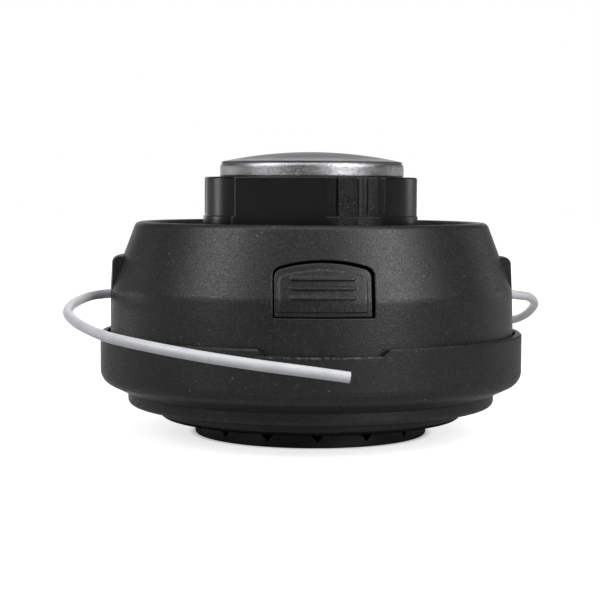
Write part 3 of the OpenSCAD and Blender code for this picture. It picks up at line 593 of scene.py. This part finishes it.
# Release tabs: the latches of the cover, moulded in the same nylon. Each hangs
# on its pin, and its face has a raised pad with three grip ribs to press on.
TAB_GAP = 0.5
TAB_DROP = 0.12
TAB_SHIFT = 0.2
TAB_EDGE_R = 0.3
CATCH_GAP = 0.25
PAD_BORDER = 1.0
PAD_OUT = 0.32
PAD_ROUND = 1.2
RELIEF_SLOPE = 0.3
RIB_OUT = 0.45
RIB_W = 15.6
RIB_T = 1.1
RIB_HEIGHTS = (38.9, 41.1, 43.3)
ARM_W = 16.0
ARM_OUT_Y = 49.181
ARM_IN_Y = 47.181
ARM_TOP_Z = 36.1
PIN_Y = 46.581
PIN_Z = 18.0
PIN_HOLE_R = 1.46
BARREL_R = 2.4
COIL_ROOM_HALF_W = 3.2
COIL_ROOM_IN_Y = 41.3
COIL_ROOM_FOOT_Z = 13.2
COIL_ROOM_TOP_Z = 22.8


def eased(value, width):
    """Rises softly from 0 to 1 as a value goes from 0 to a width."""
    share = min(max(value / width, 0), 1)
    return share * share * (3 - 2 * share)


def tab_relief(x, z):
    """How far a tab's face stands out from the cone: its pad and the ribs on it."""
    half = WINDOW_W / 2 - TAB_GAP - PAD_BORDER
    foot = WINDOW_FOOT_Z + CATCH_GAP + PAD_BORDER
    arch = WINDOW_ARCH_R - TAB_GAP - PAD_BORDER
    arch_z = WINDOW_TOP_Z - WINDOW_ARCH_R - TAB_DROP - PAD_BORDER / 2
    side = half - abs(x)
    top = arch - math.hypot(x, z - arch_z)
    round_off = max(0.0, PAD_ROUND - side) ** 2 + max(0.0, PAD_ROUND - top) ** 2
    inside = min(z - foot, PAD_ROUND - math.sqrt(round_off))
    out = PAD_OUT * eased(inside, RELIEF_SLOPE)
    for height in RIB_HEIGHTS:
        past = max(abs(x) - (RIB_W - RIB_T) / 2, 0)
        out += RIB_OUT * eased(RIB_T / 2 - math.hypot(past, z - height), RELIEF_SLOPE)
    return out


def face_spots(outline):
    """A grid of points inside a tab's front edge, fine enough for the relief of its face."""
    across, up = 84, 92
    clear = 0.12
    border = drawn(outline, -TAB_EDGE_R - clear)
    low_x, high_x = min(x for x, z in border), max(x for x, z in border)
    low_z, high_z = min(z for x, z in border), max(z for x, z in border)
    arch_z = WINDOW_TOP_Z - WINDOW_ARCH_R - TAB_DROP
    arch = WINDOW_ARCH_R - TAB_GAP - TAB_EDGE_R - 0.15
    corner = WINDOW_CORNER_R
    spots = []
    for i in range(1, across):
        for j in range(1, up):
            x = low_x + (high_x - low_x) * i / across
            z = low_z + (high_z - low_z) * j / up
            side = (high_x - low_x) / 2 - abs(x)
            top = arch - math.hypot(x, z - arch_z)
            in_corner = side < corner and top < corner
            if top > 0 and not (in_corner
                    and math.hypot(corner - side, corner - top) > corner):
                spots.append((x, z))
    return spots


def tab_face():
    """The face of a tab as a closed solid with a round front edge."""
    outline = window_outline(TAB_GAP, CATCH_GAP, TAB_DROP)
    shape = bmesh.new()

    def corner_at(x, y, z):
        return shape.verts.new(((x - TAB_SHIFT) / 1000, y / 1000, z / 1000))

    rings = [[corner_at(x, -ARM_IN_Y, z) for x, z in outline]]
    for angle in (0, 18, 36, 54, 72, 90):
        inset = TAB_EDGE_R * (1 - math.cos(math.radians(angle)))
        depth = TAB_EDGE_R * (1 - math.sin(math.radians(angle)))
        front = drawn(outline, -inset)
        rings.append([corner_at(*on_cover(x, z, tab_relief(x, z) - depth)) for x, z in front])
    skinned(shape, rings)
    shape.faces.new(rings[0])
    # The front is one sheet over the last ring and the grid inside it.
    flat, _, faces, _, _, _ = delaunay_2d_cdt(
        [Vector(p) for p in front + face_spots(outline)], [], [list(range(len(front)))], 1, 1e-5)
    on_ring = {(round(x, 3), round(z, 3)): corner for (x, z), corner in zip(front, rings[-1])}
    made = []
    for x, z in flat:
        made.append(on_ring.get((round(x, 3), round(z, 3)))
            or corner_at(*on_cover(x, z, tab_relief(x, z))))
    for face in faces:
        corners = [made[k] for k in face]
        if len(set(corners)) > 2:
            shape.faces.new(corners)
    bmesh.ops.recalc_face_normals(shape, faces=shape.faces)
    return shape


def round_bar(y, z, radius, half_length, steps=48):
    """A bar along X."""
    turns = [2 * math.pi * k / steps for k in range(steps)]
    return ring_stack([[(x, y + radius * math.cos(a), z + radius * math.sin(a)) for a in turns]
                       for x in (-half_length, half_length)])


def release_tab(name, rear, body, node):
    """A tab: its face, its arm down to the barrel on the pin, and room for the spring's coil."""
    tab = stood(name, tab_face())
    worked(tab, [
        block((-ARM_W / 2, -ARM_OUT_Y, PIN_Z), (ARM_W / 2, -ARM_IN_Y, ARM_TOP_Z)),
        round_bar(-PIN_Y, PIN_Z, BARREL_R, ARM_W / 2)], "UNION")
    worked(tab, [
        round_bar(-PIN_Y, PIN_Z, PIN_HOLE_R, ARM_W),
        block((-COIL_ROOM_HALF_W, -ARM_OUT_Y - 0.5, COIL_ROOM_FOOT_Z),
            (COIL_ROOM_HALF_W, -COIL_ROOM_IN_Y, COIL_ROOM_TOP_Z))])
    if rear:
        tab.data.transform(Matrix.Rotation(math.pi, 4, "Z"))
    finished(tab, COVER_NYLON, body, node, sharp=40)


release_tab("release_tab_front_skin", False, "tab_front", "release_tab_front")
release_tab("release_tab_rear_skin", True, "tab_rear", "release_tab_rear")


# Knob: a glossier moulding of black nylon with three flats. On the right of each
# come a rib, a groove and three shallow grip flutes over a rough blasted band. Its
# sleeve plugs into the spool, so that the two turn and slide as one.
KNOB_TONES = ((0.006, 0.006, 0.0065), (0.011, 0.011, 0.012))
KNOB_ROUGHNESS = (0.17, 0.24)
KNOB_R = 28.2
KNOB_TOP_Z = 67.3
KNOB_EDGE_R = 0.5
KNOB_FLATS = 3
FLAT_R = 25.52
FLAT_TURN = 21.8
FLAT_HALF_W = 12.0
FLAT_HALF_ANGLE = math.degrees(math.asin(FLAT_HALF_W / KNOB_R))
FLAT_BLEND = 0.2
KNOB_RIB_W = 1.7
GROOVE_W = 1.5
GROOVE_DEPTH = 0.9
GROOVE_SLOPE = 0.25
# each flute's distance from the groove, and its width
FLUTES = ((5.9, 0.8), (8.2, 1.4), (13.1, 2.0))
FLUTE_DEPTH = 0.32
FLUTE_SLOPE = 0.35
SLOT_SPREAD = 0.1
GRIP_FOOT_RISE = 0.4
FOOT_R = 28.55
FOOT_Z = 57.3
FOOT_EDGE_R = 0.3
FLANGE_R = 33.0
FLANGE_Z = 44.0
SPOOL_TOP_Z = 41.5
KNOB_SLEEVE_R = 17.6
KNOB_SLEEVE_BORE_R = 15.4
KNOB_SLEEVE_FOOT_Z = 37.5
HOLLOW_R = 22.02
HOLLOW_TOP_Z = 63.7
CAP_SEAT_R = 24.0
CAP_SPIGOT_R = 19.82
SPIGOT_FOOT_Z = 65.5
# degrees past a flat's middle, and from there on to the band's begin, step and end
BAND_FROM = 26
BAND_BEGIN = (5.5, 7)
BAND_STEP = (15.5, 17)
BAND_END = (28, 38)


def from_flat(turn):
    """Degrees from the nearest flat's middle, positive towards its groove."""
    return (turn + 90 + FLAT_TURN + 60) % 120 - 60


def knob_radius(turn, round_r, slots):
    """Radius of the knob's outside at a turn: round sectors, flats, grooves and flutes."""
    away = from_flat(turn)
    flat = FLAT_R / max(math.cos(math.radians(away)), 0.3)
    mix = max(FLAT_BLEND - abs(round_r - flat), 0) / FLAT_BLEND
    radius = min(round_r, flat) - mix * mix * FLAT_BLEND / 4
    if slots:
        along = math.radians(away - FLAT_HALF_ANGLE) * KNOB_R
        off_groove = along - KNOB_RIB_W - GROOVE_W / 2
        radius -= GROOVE_DEPTH * eased(GROOVE_W / 2 + SLOT_SPREAD - abs(off_groove), GROOVE_SLOPE)
        for place, width in FLUTES:
            radius -= FLUTE_DEPTH * eased(
                width / 2 + SLOT_SPREAD - abs(off_groove - place), FLUTE_SLOPE)
    return radius


def knob_shape(steps=1080):
    """The whole knob, ring by ring from inside its sleeve over the top and back."""
    rows = []

    def plain(points):
        for radius, height in points:
            rows.append(lambda turn, radius=radius, height=height: (radius, height))

    def outside(round_r, height, inset=0.0, slots=False):
        rows.append(lambda turn: (knob_radius(turn, round_r, slots) - inset, height))

    crisp = 0.05
    plain(rounded([
        (KNOB_SLEEVE_BORE_R, FLANGE_Z),
        (KNOB_SLEEVE_BORE_R, KNOB_SLEEVE_FOOT_Z, 0.3),
        (KNOB_SLEEVE_R, KNOB_SLEEVE_FOOT_Z, 0.3),
        (KNOB_SLEEVE_R, SPOOL_TOP_Z),
        (FLANGE_R, SPOOL_TOP_Z, 0.3),
        (FLANGE_R, FLANGE_Z, 0.4),
        (FOOT_R, FLANGE_Z)]))
    plain([(FOOT_R, DISH_Z - 0.1), (FOOT_R, DISH_Z)])
    outside(FOOT_R, DISH_Z + crisp)
    outside(FOOT_R, FOOT_Z - FOOT_EDGE_R - crisp)
    for angle in (22.5, 45, 67.5, 90):
        outside(FOOT_R - FOOT_EDGE_R * (1 - math.cos(math.radians(angle))),
            FOOT_Z - FOOT_EDGE_R + FOOT_EDGE_R * math.sin(math.radians(angle)))
    outside(KNOB_R, FOOT_Z + crisp)
    outside(KNOB_R, FOOT_Z + GRIP_FOOT_RISE - 0.02)
    outside(KNOB_R, FOOT_Z + GRIP_FOOT_RISE + 0.02, slots=True)
    outside(KNOB_R, KNOB_TOP_Z - KNOB_EDGE_R - 0.2, slots=True)
    for angle in (0, 18, 36, 54, 72, 90):
        outside(KNOB_R, KNOB_TOP_Z - KNOB_EDGE_R + KNOB_EDGE_R * math.sin(math.radians(angle)),
            KNOB_EDGE_R * (1 - math.cos(math.radians(angle))), slots=True)
    outside(KNOB_R, KNOB_TOP_Z, KNOB_EDGE_R + 0.2, slots=True)
    plain([
        (CAP_SEAT_R, KNOB_TOP_Z),
        (CAP_SPIGOT_R + 0.1, KNOB_TOP_Z),
        (CAP_SPIGOT_R, KNOB_TOP_Z - 0.1),
        (CAP_SPIGOT_R, SPIGOT_FOOT_Z),
        (0.0, SPIGOT_FOOT_Z),
        (0.0, HOLLOW_TOP_Z),
        (HOLLOW_R, HOLLOW_TOP_Z),
        (HOLLOW_R, FLANGE_Z)])
    shape = bmesh.new()
    rings = []
    for row in rows:
        ring = []
        for k in range(steps if row(0)[0] > 0 else 1):
            turn = 360 * k / steps
            radius, height = row(turn)
            ring.append(shape.verts.new((radius * math.cos(math.radians(turn)) / 1000,
                radius * math.sin(math.radians(turn)) / 1000, height / 1000)))
        rings.append(ring)
    skinned(shape, rings + rings[:1])
    bmesh.ops.recalc_face_normals(shape, faces=shape.faces)
    return shape


def knob_plastic():
    """Glossy black on the flats and the sectors past them, rough beside each groove."""
    plastic = Finish("knob_plastic")
    tone = plastic.mixed(plastic.cloud(90, detail=5, roughness=0.6), *KNOB_TONES)
    dust = plastic.times(plastic.dust_dots(700.0, size=0.2, rarity=0.95), 0.7)
    turn = plastic.reckon("ARCTAN2", plastic.along("Y"), plastic.along("X"))
    from_start = plastic.plus(turn, math.radians(90 + FLAT_TURN + 360 - BAND_FROM))
    away = plastic.reckon("MODULO", from_start, 2 * math.pi / KNOB_FLATS)

    def between(angles, at_low, at_high):
        low, high = (math.radians(angle) for angle in angles)
        return plastic.spread(away, low, high, at_low, at_high)

    band = plastic.times(between(BAND_BEGIN, 0.0, 1.0),
        plastic.times(between(BAND_STEP, 1.0, 0.3), between(BAND_END, 1.0, 0.0)))
    coarse = plastic.spread(plastic.grain(1600, roughness=0.75), 0.36, 0.64)
    fine = plastic.grain(2600, roughness=0.7)
    height = plastic.plus(plastic.times(plastic.times(coarse, band), 1.5),
        plastic.times(fine, 0.2))
    gloss = plastic.spread(plastic.grain(500, detail=4), 0.3, 0.7, *KNOB_ROUGHNESS)
    plastic.surface(
        Base_Color=plastic.mixed(dust, tone, DUST_TONE),
        Roughness=plastic.plus(gloss, plastic.times(band, 0.06)),
        Normal=plastic.raised(height, 0.00011))
    return plastic.material


knob = stood("knob_body_skin", knob_shape())
finished(knob, knob_plastic(), "spool_unit", "knob_body")


# Bump cap: cast aluminium, the wearing piece that taps the ground. Its dome is
# turned smooth, its side is left as cast, and three screws hold it from inside.
CAP_R = 24.22
CAP_TOP_Z = 73.9
CAP_DOME_H = 2.7
CAP_EDGE_R = 2.0
CAP_FOOT_ROUND = 0.45
SPIGOT_CHAMFER = 0.3
# heights in metres between which one finish of the cap turns into the next
SIDE_TO_SHOULDER = (0.0704, 0.0716)
SHOULDER_TO_CROWN = (0.0715, 0.0725)
CROWN_TONES = ((0.40, 0.40, 0.42), (0.47, 0.47, 0.49))
# pale tones of the shoulder: a painted highlight
PAINTED_SHOULDER_HIGHLIGHT_TONES = ((0.70, 0.70, 0.72), (0.90, 0.90, 0.92))
SIDE_TONES = ((0.36, 0.36, 0.37), (0.78, 0.78, 0.80))


def cast_aluminium():
    """Grainy as cast on the side, with a painted highlight on the shoulder, and dull on the crown.
    """
    metal = Finish("cast_aluminium")
    height = metal.along("Z")
    side = metal.spread(height, *SIDE_TO_SHOULDER, 1.0, 0.0)
    crown = metal.spread(height, *SHOULDER_TO_CROWN)
    cloud = metal.cloud(140, detail=5, roughness=0.65)
    grit = metal.spread(metal.grain(2400, roughness=0.8), 0.38, 0.62)
    # the shoulder's colour is a painted highlight
    tone = metal.mixed(side, metal.mixed(cloud, *PAINTED_SHOULDER_HIGHLIGHT_TONES), metal.mixed(grit, *SIDE_TONES))
    roughness = metal.spread(side, 0, 1, 0.62, 0.27)
    pits = metal.times(metal.grain(2400, roughness=0.8), metal.spread(side, 0, 1, 0.08, 1.0))
    metal.surface(
        Base_Color=metal.mixed(crown, tone, metal.mixed(cloud, *CROWN_TONES)),
        Metallic=1.0,
        Roughness=metal.reckon("SUBTRACT", roughness, metal.times(crown, 0.16)),
        Normal=metal.raised(pits, 0.00009))
    return metal.material


def cap_section():
    """Half of the cap's section: spigot, flat underside, side, round edge and dome."""
    dome_r = (CAP_R ** 2 + CAP_DOME_H ** 2) / (2 * CAP_DOME_H)
    dome_z = CAP_TOP_Z - dome_r
    dome_edge = math.degrees(math.asin((CAP_R - CAP_EDGE_R) / (dome_r - CAP_EDGE_R)))
    edge_z = dome_z + (dome_r - CAP_EDGE_R) * math.cos(math.radians(dome_edge))
    spigot = [(0.0, SPIGOT_FOOT_Z), (CAP_SPIGOT_R - SPIGOT_CHAMFER, SPIGOT_FOOT_Z),
        (CAP_SPIGOT_R, SPIGOT_FOOT_Z + SPIGOT_CHAMFER), (CAP_SPIGOT_R, KNOB_TOP_Z)]
    side = rounded([(CAP_SPIGOT_R, KNOB_TOP_Z), (CAP_R, KNOB_TOP_Z, CAP_FOOT_ROUND),
        (CAP_R, edge_z - 0.2)])[1:-1]
    edge = arc((CAP_R - CAP_EDGE_R, edge_z), CAP_EDGE_R, 0, 90 - dome_edge, 12)
    dome = arc((0, dome_z), dome_r, 90 - dome_edge - 0.8, 90, 20)[:-1]
    return spigot + side + edge + dome + [(0.0, CAP_TOP_Z)]


cap = stood("bump_cap_skin", turned(cap_section()))
finished(cap, cast_aluminium(), "spool_unit", "bump_cap")
dress("cap_screws", ZINC)


# Studio: white paper under white air, with soft boxes on both sides and a broad one
# overhead. The camera stands in front of the head and a little to its left, at the
# height of the knob, and looks down by four degrees.
PAPER_HALF_W = 3.0
PAPER_TONES = ((0.90, 0.90, 0.90), (0.92, 0.92, 0.92))
# distances from the head's middle between which the paper's own glow rises: inside the near pair
# the paper has painted shade under the head's foot, and over the far pair it glows brighter to
# make up for the lamps' fall-off
PAINTED_FOOT_SHADE_EDGE = (0.0285, 0.0325)
GLOW_FAR = (0.2, 0.6)
CARD_R = 0.045
CARD_DROP = 0.0002
LIGHT_TARGET_Z = 0.035
# name, degrees to the right of the front, degrees up, distance, size and power
SOFT_BOXES = (
    ("left_soft_box", -67, 38, 1.1, (0.35, 0.45), 3.3),
    ("left_low_box", -60, 7, 1.1, (0.15, 0.3), 0.55),
    ("left_rear_box", -122, 6, 1.1, (0.12, 0.3), 0.35),
    ("right_soft_box", 52, 38, 1.1, (0.35, 0.45), 3.8),
    ("right_low_box", 38, 14, 1.1, (0.3, 0.4), 2.4),
    ("right_rear_box", 125, 8, 1.1, (0.2, 0.3), 0.25),
    ("top_soft_box", 0, 74, 1.3, (1.4, 1.4), 7))
CAMERA_PLACE = (-0.0254, -0.4272, 0.0640)
CAMERA_HEADING = -3.01
CAMERA_PITCH = -3.9
CAMERA_ROLL = 0.3
CAMERA_LENS = 97.0
CAMERA_SENSOR_W = 36.0
CAMERA_NEAREST = 0.02


def studio_sheet(name, corners, material):
    """A flat sheet that isn't part of the head."""
    mesh = bpy.data.meshes.new(name)
    mesh.from_pydata(corners, [], [list(range(len(corners)))])
    mesh.materials.append(material)
    sheet = bpy.data.objects.new(name, mesh)
    bpy.context.scene.collection.objects.link(sheet)
    return sheet


def studio_floor():
    """White paper with a glow of its own that keeps it white, and painted shade under the head's
    foot, where it has no glow. It lights nothing itself.
    """
    paper = Finish("pale_paper")
    away = paper.step("VectorMath", operation="LENGTH", Vector=paper.place).outputs["Value"]
    # no glow inside the foot's radius: painted shade under the head
    glow_and_foot_shade = paper.plus(paper.spread(away, *PAINTED_FOOT_SHADE_EDGE, 0.0, 0.76),
        paper.spread(away, *GLOW_FAR, 0.0, 0.2))
    paper.surface(
        Base_Color=paper.mixed(paper.grain(3), *PAPER_TONES),
        Roughness=0.9,
        Specular_IOR_Level=0.1,
        Emission_Color=(1, 1, 1),
        Emission_Strength=glow_and_foot_shade)
    half = PAPER_HALF_W
    floor = studio_sheet("studio_floor",
        [(-half, -half, 0), (half, -half, 0), (half, half, 0), (-half, half, 0)], paper.material)
    floor.visible_diffuse = False
    floor.visible_glossy = False
    floor.visible_transmission = False


def black_card(steps=64):
    """A card under the head that keeps light off its foot, and that no camera sees."""
    black = Finish("black_card")
    black.surface(Base_Color=(0.004, 0.004, 0.004), Specular_IOR_Level=0.0, Roughness=1.0)
    turns = [2 * math.pi * k / steps for k in range(steps)]
    card = studio_sheet("black_card",
        [(CARD_R * math.cos(a), CARD_R * math.sin(a), -CARD_DROP) for a in turns],
        black.material)
    card.visible_camera = False
    card.visible_shadow = False


def soft_box(name, azimuth, elevation, distance, size, power):
    """A soft box at an angle from the front, positive to the right, aimed at the head."""
    data = bpy.data.lights.new(name, "AREA")
    data.shape = "RECTANGLE"
    data.size, data.size_y = size
    data.energy = power
    light = bpy.data.objects.new(name, data)
    bpy.context.scene.collection.objects.link(light)
    a, e = math.radians(azimuth), math.radians(elevation)
    target = Vector((0, 0, LIGHT_TARGET_Z))
    light.location = target + distance * Vector(
        (math.sin(a) * math.cos(e), -math.cos(a) * math.cos(e), math.sin(e)))
    light.rotation_euler = (target - light.location).to_track_quat("-Z", "Y").to_euler()


def studio_air(above, below, behind, seen):
    """White air: its light from above, from below and from behind, and how bright it looks."""
    world = bpy.data.worlds.new("studio_air")
    world.use_nodes = True
    air = Pattern(world.node_tree)
    way = air.step("SeparateXYZ", Vector=air.step("TexCoord").outputs["Generated"])
    upright = air.spread(way.outputs["Z"], -0.1, 0.1, below, above)
    rear = air.spread(way.outputs["Y"], 0.88, 0.97, 0.0, behind)
    to_camera = air.step("LightPath").outputs["Is Camera Ray"]
    background = world.node_tree.nodes["Background"]
    air.feed(background.inputs["Color"], (1, 1, 1))
    air.feed(background.inputs["Strength"],
        air.spread(to_camera, 0.0, 1.0, air.plus(upright, rear), seen))
    bpy.context.scene.world = world


def photo_camera():
    """The camera at the photograph's place."""
    data = bpy.data.cameras.new("photo_camera")
    data.sensor_width = CAMERA_SENSOR_W
    data.lens = CAMERA_LENS
    data.clip_start = CAMERA_NEAREST
    camera = bpy.data.objects.new("photo_camera", data)
    bpy.context.scene.collection.objects.link(camera)
    camera.matrix_world = (
        Matrix.Translation(CAMERA_PLACE)
        @ Matrix.Rotation(math.radians(CAMERA_HEADING), 4, "Z")
        @ Matrix.Rotation(math.radians(90 + CAMERA_PITCH), 4, "X")
        @ Matrix.Rotation(math.radians(CAMERA_ROLL), 4, "Z"))
    bpy.context.scene.camera = camera


studio_floor()
for box in SOFT_BOXES:
    soft_box(*box)
black_card()
studio_air(above=0.08, below=0.36, behind=0.9, seen=1.0)
photo_camera()
bpy.context.scene.view_settings.view_transform = "Standard"
